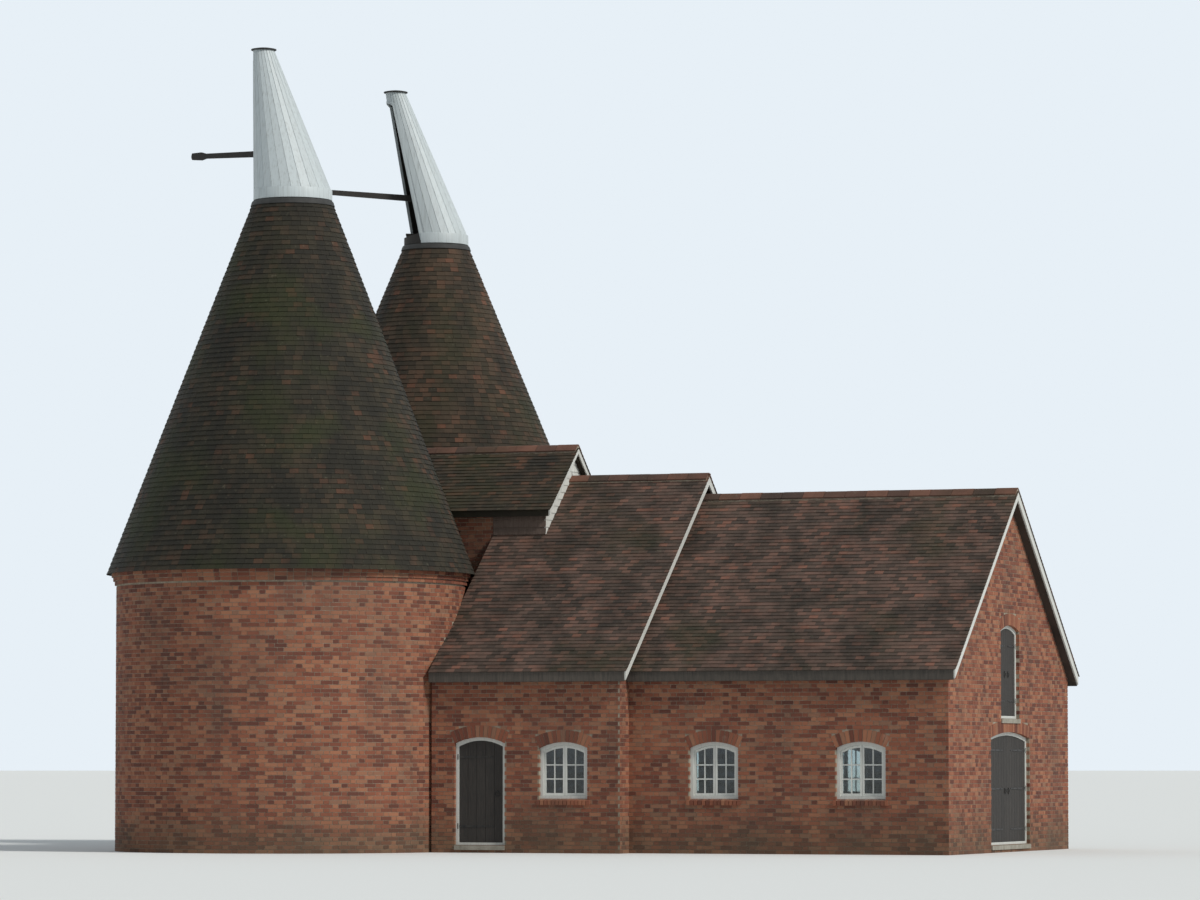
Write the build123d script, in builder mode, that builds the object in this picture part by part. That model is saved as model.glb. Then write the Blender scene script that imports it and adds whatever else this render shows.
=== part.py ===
from build123d import *
import os
from collections import namedtuple
from math import asin, cos, degrees, hypot, radians, sin, tan

# An oast house in millimetres, +Z up.  The stowage runs along X, and two round kilns
# stand against its west end in a row along Y.  The origin is on the ground, at the
# middle of the stowage's tall bay.

# Brickwork
wall = 230                # one brick thick, round walls and straight ones
course = 75               # a brick and its joint
floor = 120               # ground floor slab
joist_floor = 150         # upper floor
upper_level = 2300        # underside of the upper floor

# Kilns
kiln_bore = 6100          # clear width inside, twenty feet
kiln_eaves = 5200         # top of the round wall
kiln_bite = 40            # how far a round wall runs into the line of the end wall
eaves_gap = 120           # between the eaves of the two cones
wall_segments = 15        # segments of a round wall, beside its inner doorway
cornice_courses = 3       # corbelled courses at the head of the wall
cornice_step = 30         # how far each course stands out over the one below
eaves_drip = 70           # how far a cone reaches past the cornice

# Cones
cone_rises = (7040, 6840)     # from the eaves to the top of each cone
cone_tops = (1458, 1270)      # width at the top of each cone
cone_skin = 120           # rafters, battens and tiles
plate_height = 100        # timber plate under the rafters
plate_setback = 50        # of that plate from the inner face of the wall

# Curbs and cowls
curb_setback = 29         # of the timber curb from the edge of the cone's top
curb_height = 190
curb_timber = 100         # thickness of the curb and of its beam
socket_depth = 120        # of the hole that a cowl turns in
pin_width = 50
pin_play = 2              # around the pin
rest_play = 0.3           # under the pin
turn_gap = 12             # between a turning cowl and what stays still
cowl_reach = 30           # of a cowl's foot past its curb
cowl_top = 390            # width of a cowl under its cap
cowl_heights = (2770, 2900)
cowl_boards = 24          # tapered boards, each a flat facet of the skin
cowl_lean = 830           # how far the top stands out over the mouth
cowl_skin = 25            # boarding
band_gap = 30             # from the cone's top to the band round a cowl's foot
mouth_sill = 150          # along the leaning axis
mouth_crown = 240         # from the top of a cowl down to the springing of its mouth's head
mouth_share = 0.8         # of the cowl's width at each height
cap_lip = 45              # how far the cap stands out
cap_height = 60
finger_reach = 2850       # from the turning axis to the tip
finger_level = 750        # over the foot of the cowl
finger_rise = 150         # of its tip over its root
finger_depth = 130
finger_board = 38
post_width = 90
post_height = 1080
arm = 60                  # timbers that carry the boarding
arm_level = 950           # of the upper cross arm
cowl_headings = (157, 212)    # degrees, which way each mouth looks at rest

# Stowage
pitch = 40                # degrees, every gabled roof
wall_head = 3250          # top of a long wall at its outer face
roof_slab = 150           # rafters, battens and tiles
roof_drip = 150           # past the long walls
verge = 150               # past the gables
bay_length = 3700         # tall bay beside the kilns
wing_length = 6100        # lower wing
wing_drop = 400           # of its ridge under the tall bay's
ridge_leg = 170           # each side of a ridge tile
ridge_thick = 70          # upright
barge_board = 28
barge_depth = 170         # upright

# Raised link between the cones and over the tall bay's ridge
link_half = 1375          # to the outer face of its walls
link_wall = 150
link_rise = 600           # of its ridge over the tall bay's
link_run = 1060           # over the tall bay
link_slab = 100
link_drip = 120
link_barge = 120

# Doors and windows
inner_door = 800          # doorways from the stowage to the kilns
inner_height = 2100
jamb = 220                # brickwork beside an inner doorway
kiln_door = (900, 1900)
front_door = (1000, 2000)
wagon_door = (2500, 2100)
loading_door = (1200, 1750)
through_door = (1000, 1950)
window = (950, 1050)
window_sill = 980
arch_rise = 110           # of a segmental head
reveal = 60               # from the face of the wall to the frame
frame_width = 65
frame_depth = 95
door_leaf = 45
leaf_play = 6             # between two leaves
pane = 6
front_door_place = 950    # from the tall bay's west end to the middle of its front door
bay_window_place = 1100   # from its east end to the middle of its front window
wing_window_share = (0.27, 0.73)

# Worked out
kiln_r = kiln_bore / 2
kiln_out = kiln_r + wall
cornice_z = kiln_eaves - cornice_courses * course
cornice_r = kiln_out + cornice_courses * cornice_step
cone_foot = cornice_r + eaves_drip
bay_west = -bay_length / 2
bay_east = bay_length / 2
wing_east = bay_east + wing_length
kiln_x = bay_west - kiln_out + kiln_bite
kiln_y = cone_foot + eaves_gap / 2
bay_half = kiln_y + inner_door / 2 + jamb + wall
wing_half = bay_half - wing_drop / tan(radians(pitch))
slab_z = roof_slab / cos(radians(pitch))
link_slab_z = link_slab / cos(radians(pitch))
bay_ridge = wall_head + slab_z + bay_half * tan(radians(pitch))
wing_ridge = bay_ridge - wing_drop
link_ridge = bay_ridge + link_rise
link_east = bay_west + link_run
upper_floor_z = upper_level + joist_floor
cowl_band = curb_height + 2 * turn_gap - band_gap
cap_r = cowl_top / 2

Kiln = namedtuple("Kiln", "name x y heading cone_r cone_z lean curb_r cowl_r cowl_z cowl_height")
Opening = namedtuple("Opening", "x y sill outward size rise")


def kiln_beside(index, y):
    """Places and sizes of one kiln's cone and cowl."""
    cone_r = cone_tops[index] / 2
    cone_z = kiln_eaves + cone_rises[index]
    lean = (cone_foot - cone_r) / cone_rises[index]
    curb_r = cone_r - curb_setback
    cowl_z = cone_z + curb_height + turn_gap
    return Kiln(str(index + 1), kiln_x, y, cowl_headings[index], cone_r, cone_z, lean, curb_r,
                curb_r + cowl_reach, cowl_z, cowl_heights[index])


kilns = [kiln_beside(0, -kiln_y), kiln_beside(1, kiln_y)]


def deliver(part, name):
    """Label a finished piece and write it as its own file."""
    part.label = name
    export_step(part, f"parts/{name}.step")


def facing(x, y, z, outward):
    """Upright plane whose normal looks along the compass angle outward."""
    turn = radians(outward)
    return Plane(origin=(x, y, z), x_dir=(-sin(turn), cos(turn), 0), z_dir=(cos(turn), sin(turn), 0))


def arched(width, height, rise):
    """Opening with a segmental head, its foot centred on the origin."""
    half = width / 2
    spring = height - rise
    with BuildSketch() as shape:
        with BuildLine():
            Polyline((-half, spring), (-half, 0), (half, 0), (half, spring))
            if rise:
                ThreePointArc((half, spring), (0, height), (-half, spring))
            else:
                Line((half, spring), (-half, spring))
        make_face()
    return shape.sketch


def slope_z(ridge, y):
    """Height of a gabled roof's surface at a distance y from its ridge."""
    return ridge - abs(y) * tan(radians(pitch))


def gable_points(ridge, half, foot):
    """Outline of a gabled section from the level foot up to the surface."""
    eaves = slope_z(ridge, half)
    return [(-half, foot), (half, foot), (half, eaves), (0, ridge), (-half, eaves)]


def chevron_points(ridge, half, depth):
    """Band of even upright depth under a gabled surface."""
    eaves = slope_z(ridge, half)
    over = [(-half, eaves), (0, ridge), (half, eaves)]
    return over + [(y, z - depth) for y, z in reversed(over)]


def prism(points, start, length):
    """Section in Y and Z, drawn out along X."""
    with BuildPart() as body:
        with BuildSketch(Plane.YZ.offset(start)):
            with BuildLine():
                Polyline(*points, close=True)
            make_face()
        extrude(amount=length)
    return body.part


def cornice_points():
    """Steps of the corbelled courses, from the wall's face out to its top edge."""
    points = [(kiln_out, cornice_z)]
    for step in range(cornice_courses):
        radius = kiln_out + (step + 1) * cornice_step
        points.append((radius, cornice_z + step * course))
        points.append((radius, cornice_z + (step + 1) * course))
    return points


def kiln_mass(kiln):
    """Whole outer form of a kiln without its hollow, used to trim what meets it."""
    with BuildPart() as mass:
        with BuildSketch(Plane.XZ.offset(-kiln.y)):
            with BuildLine():
                Polyline(
                    (kiln.x, 0),
                    (kiln.x + kiln_out, 0),
                    *[(kiln.x + r, z) for r, z in cornice_points()],
                    (kiln.x + cone_foot, kiln_eaves),
                    (kiln.x + kiln.cone_r, kiln.cone_z),
                    (kiln.x, kiln.cone_z),
                    close=True,
                )
            make_face()
        revolve(axis=Axis((kiln.x, kiln.y, 0), (0, 0, 1)))
    return mass.part


# Openings in the walls, each in the outer face of its wall
kiln_doors = [Opening(k.x - kiln_out, k.y, floor, 180, kiln_door, arch_rise) for k in kilns]
front_doors = [Opening(bay_west + front_door_place, -bay_half, floor, -90, front_door, arch_rise)]
wagon_doors = [Opening(wing_east, 0, floor, 0, wagon_door, arch_rise)]
loading_doors = [Opening(wing_east, 0, upper_floor_z, 0, loading_door, arch_rise)]
bay_windows = [
    Opening(bay_east - bay_window_place, -bay_half, window_sill, -90, window, arch_rise),
    Opening(0, bay_half, window_sill, 90, window, arch_rise),
]
wing_windows = [
    Opening(bay_east + share * wing_length, side * wing_half, window_sill, side * 90, window, arch_rise)
    for side in (-1, 1)
    for share in wing_window_share
]
end_doorways = [Opening(bay_west, k.y, floor, 180, (inner_door, inner_height), 0) for k in kilns]
through_doorways = [
    Opening(bay_east, 0, floor, 0, through_door, arch_rise),
    Opening(bay_east, 0, upper_floor_z, 0, through_door, arch_rise),
]
windows = bay_windows + wing_windows
doors = kiln_doors + front_doors + wagon_doors + loading_doors


def pierced(solid, openings):
    """A wall with its openings cut through from the outer face."""
    with BuildPart() as body:
        add(solid)
        for hole in openings:
            with BuildSketch(facing(hole.x, hole.y, hole.sill, hole.outward)):
                add(arched(*hole.size, hole.rise))
            extrude(amount=-2 * wall, mode=Mode.SUBTRACT)
    return body.part


def kiln_wall_node(kiln, first):
    """Every second segment of a round wall, from the segment numbered first."""
    half_door = degrees(asin(inner_door / 2 / kiln_r))
    sweep = (360 - 2 * half_door) / wall_segments
    profile = [(kiln_r, 0), (kiln_out, 0), *cornice_points(), (kiln_r, kiln_eaves)]
    over_door = [(kiln_r, floor + inner_height), (kiln_out, floor + inner_height), *profile[2:]]
    sill = [(kiln_r, 0), (kiln_out, 0), (kiln_out, floor), (kiln_r, floor)]
    pieces = [(profile, half_door + n * sweep, sweep) for n in range(first, wall_segments, 2)]
    if first:
        pieces += [(section, -half_door, 2 * half_door) for section in (over_door, sill)]
    with BuildPart() as body:
        for section, start, arc in pieces:
            with BuildSketch(facing(kiln.x, kiln.y, 0, start - 90)):
                with BuildLine():
                    Polyline(*section, close=True)
                make_face()
            revolve(axis=Axis((kiln.x, kiln.y, 0), (0, 0, 1)), revolution_arc=arc)
        add(bay_mass, mode=Mode.SUBTRACT)
        door = kiln_doors[kilns.index(kiln)]
        with BuildSketch(facing(door.x, door.y, door.sill, door.outward)):
            add(arched(*door.size, door.rise))
        extrude(amount=-2 * wall, mode=Mode.SUBTRACT)
    return body.part


def kiln_roof_node(kiln):
    """Conical roof shell with the plate that it stands on."""
    plate_z = kiln_eaves + plate_height
    inner_top = kiln.cone_r - cone_skin * hypot(1, kiln.lean)
    inner_foot = inner_top + (kiln.cone_z - plate_z) * kiln.lean
    plate_r = kiln_r + plate_setback
    with BuildPart() as body:
        with BuildSketch(facing(kiln.x, kiln.y, 0, -90)):
            with BuildLine():
                Polyline(
                    (cone_foot, kiln_eaves),
                    (kiln.cone_r, kiln.cone_z),
                    (inner_top, kiln.cone_z),
                    (inner_foot, plate_z),
                    (plate_r, plate_z),
                    (plate_r, kiln_eaves),
                    close=True,
                )
            make_face()
        revolve(axis=Axis((kiln.x, kiln.y, 0), (0, 0, 1)))
        add(bay_mass, mode=Mode.SUBTRACT)
    return body.part


def curb_node(kiln):
    """Timber curb on the cone's top, with the beam whose socket carries the cowl."""
    with BuildPart() as body:
        with BuildSketch(Plane((kiln.x, kiln.y, kiln.cone_z))):
            Circle(kiln.curb_r)
            Circle(kiln.curb_r - curb_timber, mode=Mode.SUBTRACT)
            Rectangle(2 * (kiln.curb_r - curb_timber / 2), 2 * curb_timber)
        extrude(amount=curb_height)
        with BuildSketch(Plane((kiln.x, kiln.y, kiln.cone_z + curb_height))):
            Circle(pin_width / 2 + pin_play)
        extrude(amount=-socket_depth, mode=Mode.SUBTRACT)
    return body.part


def cowl_plane(kiln, height):
    """Level plane at a height over the cowl's foot, its X along the heading."""
    turn = radians(kiln.heading)
    return Plane((kiln.x, kiln.y, kiln.cowl_z + height), x_dir=(cos(turn), sin(turn), 0))


def cowl_cone(kiln, inset):
    """Leaning many-sided cone from the cowl's foot to its cap, drawn in by an inset."""
    with BuildPart() as body:
        with BuildSketch(cowl_plane(kiln, 0)):
            RegularPolygon(kiln.cowl_r - inset, cowl_boards)
        with BuildSketch(cowl_plane(kiln, kiln.cowl_height)):
            with Locations((cowl_lean, 0)):
                RegularPolygon(cap_r - inset, cowl_boards)
        loft(ruled=True)
    return body.part


def cowl_shell_node(kiln):
    """Boarded skin of a cowl: a leaning cone, cut away for the mouth, over a band."""
    slant = hypot(kiln.cowl_height, cowl_lean)
    mouth_head = slant - mouth_crown
    turn = radians(kiln.heading)
    across = Vector(-sin(turn), cos(turn), 0)
    along = Vector(cowl_lean * cos(turn), cowl_lean * sin(turn), kiln.cowl_height)
    mouth_plane = Plane((kiln.x, kiln.y, kiln.cowl_z), x_dir=across, z_dir=across.cross(along))

    def half_mouth(run):
        share = run / slant
        return mouth_share * (kiln.cowl_r * (1 - share) + cap_r * share)

    low, high = half_mouth(mouth_sill), half_mouth(mouth_head)
    with BuildPart() as body:
        add(cowl_cone(kiln, 0))
        with BuildSketch(cowl_plane(kiln, turn_gap - cowl_band)):
            Circle(kiln.curb_r + turn_gap + cowl_skin)
        extrude(amount=cowl_band)
        add(cowl_cone(kiln, cowl_skin), mode=Mode.SUBTRACT)
        with BuildSketch(cowl_plane(kiln, 0)):
            Circle(kiln.curb_r + turn_gap)
        extrude(amount=-cowl_band, mode=Mode.SUBTRACT)
        with BuildSketch(mouth_plane):
            with BuildLine():
                Polyline((-high, mouth_head), (-low, mouth_sill), (low, mouth_sill), (high, mouth_head))
                ThreePointArc((high, mouth_head), (0, mouth_head + high / 2), (-high, mouth_head))
            make_face()
        extrude(amount=2 * kiln.cowl_r, mode=Mode.SUBTRACT)
    return body.part


def cowl_cap_node(kiln):
    """Round cap over the cowl's top, low-crowned."""
    with BuildPart() as body:
        with BuildSketch(cowl_plane(kiln, kiln.cowl_height)):
            with Locations((cowl_lean, 0)):
                Circle(cap_r + cap_lip)
        extrude(amount=cap_height)
        chamfer(body.faces().sort_by(Axis.Z)[-1].edges(), length=cap_height / 2, length2=cap_r)
    return body.part


def finger_node(kiln):
    """Vane board that points out of the mouth: slender, with a deeper end."""
    turn = radians(kiln.heading)
    half = finger_depth / 2
    root = post_width / 2
    neck = finger_reach - 3 * finger_depth
    bulge = neck + finger_depth

    def level(run):
        """Height of the sloping middle line at a run from the turning axis."""
        return finger_rise * (run - root) / (finger_reach - root)

    with BuildPart() as body:
        side = Plane((kiln.x, kiln.y, kiln.cowl_z + finger_level), x_dir=(cos(turn), sin(turn), 0),
                     z_dir=(sin(turn), -cos(turn), 0))
        with BuildSketch(side):
            with BuildLine():
                Polyline(
                    (neck, level(neck) + half * 0.75),
                    (root, half),
                    (root, -half),
                    (neck, level(neck) - half * 0.75),
                    (bulge, level(bulge) - half * 1.2),
                    (finger_reach, finger_rise - half),
                )
                ThreePointArc(
                    (finger_reach, finger_rise - half),
                    (finger_reach + half * 0.4, finger_rise),
                    (finger_reach, finger_rise + half),
                )
                Polyline(
                    (finger_reach, finger_rise + half),
                    (bulge, level(bulge) + half * 1.2),
                    (neck, level(neck) + half * 0.75),
                )
            make_face()
        extrude(amount=finger_board / 2, both=True)
    return body.part


def cowl_frame_node(kiln):
    """Turning post with its pin, and the arms that carry the boarding."""
    with BuildPart() as body:
        for height, shape in ((0, (2, 2)), (arm_level, (0, 2))):
            with BuildSketch(cowl_plane(kiln, height)):
                Rectangle(arm, shape[1] * kiln.cowl_r)
                if shape[0]:
                    Rectangle(shape[0] * kiln.cowl_r, arm)
            extrude(amount=arm)
        add(cowl_cone(kiln, cowl_skin), mode=Mode.INTERSECT)
        with BuildSketch(cowl_plane(kiln, 0)):
            Circle(post_width / 2)
        extrude(amount=post_height)
        with BuildSketch(cowl_plane(kiln, 0)):
            Circle(pin_width / 2)
        extrude(amount=-(turn_gap + socket_depth - rest_play))
    return body.part


# Outline of the tall bay, which trims the kilns that stand against it
bay_mass = prism(gable_points(bay_ridge, bay_half + roof_drip, 0), bay_west, bay_length)
kiln_masses = [kiln_mass(kiln) for kiln in kilns]


def clear_of_kilns(solid):
    """A piece of the link, trimmed where it dies into the kilns."""
    with BuildPart() as body:
        add(solid)
        for mass in kiln_masses:
            add(mass, mode=Mode.SUBTRACT)
    return body.part


# Kilns and cowls
for kiln in kilns:
    deliver(kiln_wall_node(kiln, 0), f"kiln_{kiln.name}_wall_a")
    deliver(kiln_wall_node(kiln, 1), f"kiln_{kiln.name}_wall_b")
    deliver(kiln_roof_node(kiln), f"kiln_{kiln.name}_roof")
    deliver(curb_node(kiln), f"kiln_{kiln.name}_curb")
    deliver(cowl_shell_node(kiln), f"cowl_{kiln.name}_shell")
    deliver(cowl_cap_node(kiln), f"cowl_{kiln.name}_cap")
    deliver(finger_node(kiln), f"cowl_{kiln.name}_finger")
    deliver(cowl_frame_node(kiln), f"cowl_{kiln.name}_frame")

with BuildPart() as kiln_floors:
    for kiln in kilns:
        with BuildSketch(Plane((kiln.x, kiln.y, 0))):
            Circle(kiln_r)
        extrude(amount=floor)
deliver(kiln_floors.part, "kiln_floors")


def long_wall(side, half, start, length):
    """Long wall of the stowage, its top cut to the slope of the roof on it."""
    under = wall_head + half * tan(radians(pitch))
    points = [
        (side * half, 0),
        (side * (half - wall), 0),
        (side * (half - wall), slope_z(under, half - wall)),
        (side * half, wall_head),
    ]
    return prism(points, start, length)


def roof_slope(side, ridge, half, depth, start, length):
    """One slope of a gabled roof, from the ridge to the eaves."""
    points = [
        (0, ridge),
        (0, ridge - depth),
        (side * half, slope_z(ridge, half) - depth),
        (side * half, slope_z(ridge, half)),
    ]
    return prism(points, start, length)


# Tall bay and wing
bay_under = bay_ridge - slab_z
wing_under = wing_ridge - slab_z
sides = {"front": -1, "back": 1}
for word, side in sides.items():
    bay_holes = [hole for hole in bay_windows + front_doors if hole.y * side > 0]
    wing_holes = [hole for hole in wing_windows if hole.y * side > 0]
    deliver(pierced(long_wall(side, bay_half, bay_west, bay_length), bay_holes), f"bay_{word}_wall")
    deliver(pierced(long_wall(side, wing_half, bay_east, wing_length), wing_holes), f"wing_{word}_wall")
    deliver(roof_slope(side, bay_ridge, bay_half + roof_drip, slab_z, bay_west, bay_length + verge),
            f"bay_{word}_roof")
    deliver(roof_slope(side, wing_ridge, wing_half + roof_drip, slab_z, bay_east, wing_length + verge),
            f"wing_{word}_roof")

bay_inside = bay_half - wall
wing_inside = wing_half - wall
bay_section = gable_points(bay_under, bay_inside, 0)
deliver(pierced(prism(bay_section, bay_west, wall), end_doorways), "kiln_end_wall")
deliver(pierced(prism(bay_section, bay_east - wall, wall), through_doorways), "bay_gable_wall")
wing_section = gable_points(wing_under, wing_inside, 0)
deliver(pierced(prism(wing_section, wing_east - wall, wall), wagon_doors + loading_doors), "wing_gable_wall")


def floor_node(level, thickness):
    """Floor of the tall bay and of the wing at one level."""
    with BuildPart() as body:
        with BuildSketch(Plane.XY.offset(level)):
            with Locations((0, 0)):
                Rectangle(bay_length - 2 * wall, 2 * bay_inside)
            with Locations((bay_east + (wing_length - wall) / 2, 0)):
                Rectangle(wing_length - wall, 2 * wing_inside)
        extrude(amount=thickness)
    return body.part


deliver(floor_node(0, floor), "ground_floor")
deliver(floor_node(upper_level, joist_floor), "upper_floor")

# Link between the cones
link_under = link_ridge - link_slab_z
link_west = kiln_x - link_wall / 2
west_wall = prism(gable_points(link_under, link_half, 0), link_west, link_wall)
deliver(clear_of_kilns(west_wall), "link_west_wall")
for word, side in sides.items():
    cheek = [
        (side * link_half, 0),
        (side * (link_half - link_wall), 0),
        (side * (link_half - link_wall), slope_z(link_under, link_half - link_wall)),
        (side * link_half, slope_z(link_under, link_half)),
    ]
    deliver(clear_of_kilns(prism(cheek, kiln_x, bay_west - kiln_x)), f"link_{word}_wall")
    roof_start = link_west - link_drip / 2
    link_slope = roof_slope(side, link_ridge, link_half + link_drip, link_slab_z, roof_start,
                            link_east + link_drip - roof_start)
    deliver(clear_of_kilns(link_slope), f"link_{word}_roof")

upstand_depth = link_rise - link_slab_z
with BuildPart() as link_upstand:
    add(prism(chevron_points(link_under, link_half, upstand_depth), bay_west, link_run))
    hollow = chevron_points(link_under, link_half - link_wall, upstand_depth)
    add(prism(hollow, bay_west, link_run - link_wall), mode=Mode.SUBTRACT)
deliver(link_upstand.part, "link_upstand")

# Ridges and bargeboards
with BuildPart() as ridge_tiles:
    for ridge, start, end in (
        (bay_ridge, link_east, bay_east + verge + barge_board),
        (wing_ridge, bay_east, wing_east + verge + barge_board),
        (link_ridge, link_west - link_drip / 2, link_east + link_drip + barge_board),
    ):
        add(prism(chevron_points(ridge + ridge_thick, ridge_leg, ridge_thick), start, end - start))
deliver(ridge_tiles.part, "ridge_tiles")

with BuildPart() as bargeboards:
    for ridge, half, depth, start in (
        (bay_ridge, bay_half + roof_drip, barge_depth, bay_east + verge),
        (wing_ridge, wing_half + roof_drip, barge_depth, wing_east + verge),
        (link_ridge, link_half + link_drip, link_barge, link_east + link_drip),
    ):
        add(prism(chevron_points(ridge, half, depth), start, barge_board))
deliver(bargeboards.part, "bargeboards")


def frame_node(openings):
    """Timber frames, set back in the openings."""
    with BuildPart() as body:
        for hole in openings:
            width, height = hole.size
            clear = arched(width - 2 * frame_width, height - 2 * frame_width, hole.rise)
            with BuildSketch(facing(hole.x, hole.y, hole.sill, hole.outward).offset(-reveal)):
                add(arched(width, height, hole.rise))
                with Locations((0, frame_width)):
                    add(clear, mode=Mode.SUBTRACT)
            extrude(amount=-frame_depth)
    return body.part


def leaf_node(openings, thickness, gap=0):
    """Panes or door leaves inside the frames, parted down the middle by a gap."""
    with BuildPart() as body:
        for hole in openings:
            width, height = hole.size
            clear = arched(width - 2 * frame_width, height - 2 * frame_width, hole.rise)
            inset = reveal + (frame_depth - thickness) / 2
            with BuildSketch(facing(hole.x, hole.y, hole.sill, hole.outward).offset(-inset)):
                with Locations((0, frame_width)):
                    add(clear)
                if gap:
                    Rectangle(gap, 2 * height, mode=Mode.SUBTRACT)
            extrude(amount=-thickness)
    return body.part


deliver(frame_node(windows), "window_frames")
deliver(frame_node(doors), "door_frames")
deliver(leaf_node(windows, pane), "window_glass")
deliver(leaf_node(kiln_doors, door_leaf), "kiln_doors")
deliver(leaf_node(front_doors, door_leaf), "front_door")
deliver(leaf_node(wagon_doors, door_leaf, leaf_play), "wagon_doors")
deliver(leaf_node(loading_doors, door_leaf), "loading_door")
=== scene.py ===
import bmesh
import bpy
import math
import numpy as np
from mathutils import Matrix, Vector


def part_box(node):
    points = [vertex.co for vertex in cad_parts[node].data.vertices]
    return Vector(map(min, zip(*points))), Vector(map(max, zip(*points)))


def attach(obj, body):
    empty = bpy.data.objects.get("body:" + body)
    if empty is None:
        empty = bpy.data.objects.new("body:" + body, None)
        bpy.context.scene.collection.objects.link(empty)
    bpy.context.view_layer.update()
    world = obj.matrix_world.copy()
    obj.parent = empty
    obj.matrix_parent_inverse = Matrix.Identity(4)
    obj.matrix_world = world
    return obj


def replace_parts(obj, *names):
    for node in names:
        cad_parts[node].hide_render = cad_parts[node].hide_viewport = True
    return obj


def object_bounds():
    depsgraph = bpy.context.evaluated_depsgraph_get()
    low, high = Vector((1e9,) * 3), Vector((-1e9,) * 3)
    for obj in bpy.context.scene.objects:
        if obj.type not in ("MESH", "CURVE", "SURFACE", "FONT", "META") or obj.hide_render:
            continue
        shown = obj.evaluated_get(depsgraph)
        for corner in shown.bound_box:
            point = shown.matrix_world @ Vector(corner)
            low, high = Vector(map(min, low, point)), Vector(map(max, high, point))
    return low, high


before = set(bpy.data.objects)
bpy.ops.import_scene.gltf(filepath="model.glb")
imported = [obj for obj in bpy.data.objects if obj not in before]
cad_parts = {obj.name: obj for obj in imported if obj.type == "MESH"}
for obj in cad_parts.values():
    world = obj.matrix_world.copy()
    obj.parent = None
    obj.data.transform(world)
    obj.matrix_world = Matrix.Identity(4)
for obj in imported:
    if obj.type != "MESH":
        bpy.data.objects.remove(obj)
cad_low, cad_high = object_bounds()

# Lengths are metres, in the frame's own axes: +X along the stowage's ridge, away from
# the kilns, and +Z up.  "Front" is the side that the camera sees, towards -Y.
SIDES = (("front", -1), ("back", 1))      # each side's word and the sign of its y

# Camera
AZIMUTH = 21.0            # degrees, as the kilns' row lies in the photograph
DISTANCE = 100.0
EYE_HEIGHT = 1.6
FRAME_FILL = 0.885        # share of the picture's height that the building takes
PICTURE_SHAPE = 1200 / 900
SENSOR = 36.0             # millimetres

# Roofs and walls, as the solids have them
PITCH = math.radians(40)
SLOPE = math.tan(PITCH)
ROOF_SLAB = 0.15 / math.cos(PITCH)        # upright
LINK_SLAB = 0.1 / math.cos(PITCH)
WALL_HEAD = 3.25          # of the long walls' bricks, behind the fascias
FASCIA = 0.02
KILN_WALL_R = 3.28
CURB_SETBACK = 0.029      # of a curb from the edge of its cone's top
CORNICE_COURSES = 3
CORNICE_STEP = 0.03
COURSE = 0.075
ARCH_RISE = 0.11
REVEAL = 0.06
FRAME_WIDTH = 0.065
FRAME_DEPTH = 0.095
LEAF = 0.045
PANE = 0.006
INNER_DOOR = 0.8
INNER_HEIGHT = 2.1
FLOOR = 0.12

# Bricks, in Flemish bond
STRETCHER = 0.215
HEADER = 0.1025
BRICK_HEIGHT = 0.065
JOINT = 0.01
PERIOD = STRETCHER + HEADER + 2 * JOINT
PROUD = 0.006             # of the mortar
BEDDED = 0.004            # behind the mortar's face
UNEVEN = 0.0015
SHORTEST_BRICK = 0.03
ARCH_DEPTH = 0.215

# Roof tiles
GAUGE = 0.1
TILE_WIDTH = 0.168
TILE_LENGTH = 0.165
TILE_THICK = 0.013
TILE_TAIL = 0.027         # top of a tile's lower edge over the battens
TILE_HEAD = 0.008
TILE_GAP = 0.003
CONE_LAP = 0.03           # of the lowest tiles past the edge of a cone
EAVES_LAP = 0.035         # and past a roof's slab
VERGE_LAP = 0.045         # of the tiles past a roof's slab, over its bargeboard
RIDGE_TILE = 0.42
RIDGE_LEG = 0.17
RIDGE_CROWN = 0.07        # over the slab's ridge
RIDGE_THICK = 0.018
RIDGE_SINK = 0.012        # of the rounded crown into the sharp one
RIDGE_LAP = 0.028         # past a roof's slab

# Weatherboards
LAP_GAUGE = 0.14
LAP_WIDTH = 0.165
LAP_FOOT = 0.022          # how far the lower edge stands out
LAP_HEAD = 0.008

# Cowls, as the solids have them
TURN_GAP = 0.012
COWL_REACH = 0.03
COWL_TOP_R = 0.195
MOUTH_CROWN = 0.24
MOUTH_SHARE = 0.8
# A cowl's band is left out under its mouth, so the tar-black shell shows there as painted shade at the cowl's
# foot.
BAND_GAP = math.asin(MOUTH_SHARE)         # half the stretch of its band that a cowl's mouth leaves out
BOARDS = 24
BOARD = 0.009             # of the boards out of the shell
BOARD_BED = 0.002         # and into it
FACE_GAP = 0.0035         # half the gap between two boards, at their faces
BACK_GAP = 0.0005         # and at their backs
# Outline of the trim, off the mouth's edge and out of the cowl's skin
TRIM_SECTION = ((-0.003, -0.03), (-0.003, 0.02), (0.036, 0.02), (0.036, -0.01))

# Doors, in shares of a leaf
LEDGES = (0.14, 0.5, 0.84)                # up its height
STUDS = (0.12, 0.4, 0.66)                 # along each strap, of its width

SHARP = math.radians(35)  # angle from which an edge isn't shaded smooth
SEED = 7
random = np.random.default_rng(SEED)

BLOCK_FACES = np.array([
    [0, 2, 3, 1], [4, 5, 7, 6], [0, 1, 5, 4], [2, 6, 7, 3], [0, 4, 6, 2], [1, 3, 7, 5],
])
CORNERS = (np.arange(8)[:, None] >> np.arange(3) & 1).astype(bool)     # if high in u, in v and in w
UPPER = CORNERS[:, 1]
LOWER = ~UPPER
MIRRORED = [1, 0, 3, 2, 5, 4, 7, 6]       # a block's corners once it is turned round in u


def places(mesh):
    """Places of a mesh's points."""
    points = np.empty(3 * len(mesh.vertices))
    mesh.vertices.foreach_get("co", points)
    return points.reshape(-1, 3)


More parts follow.
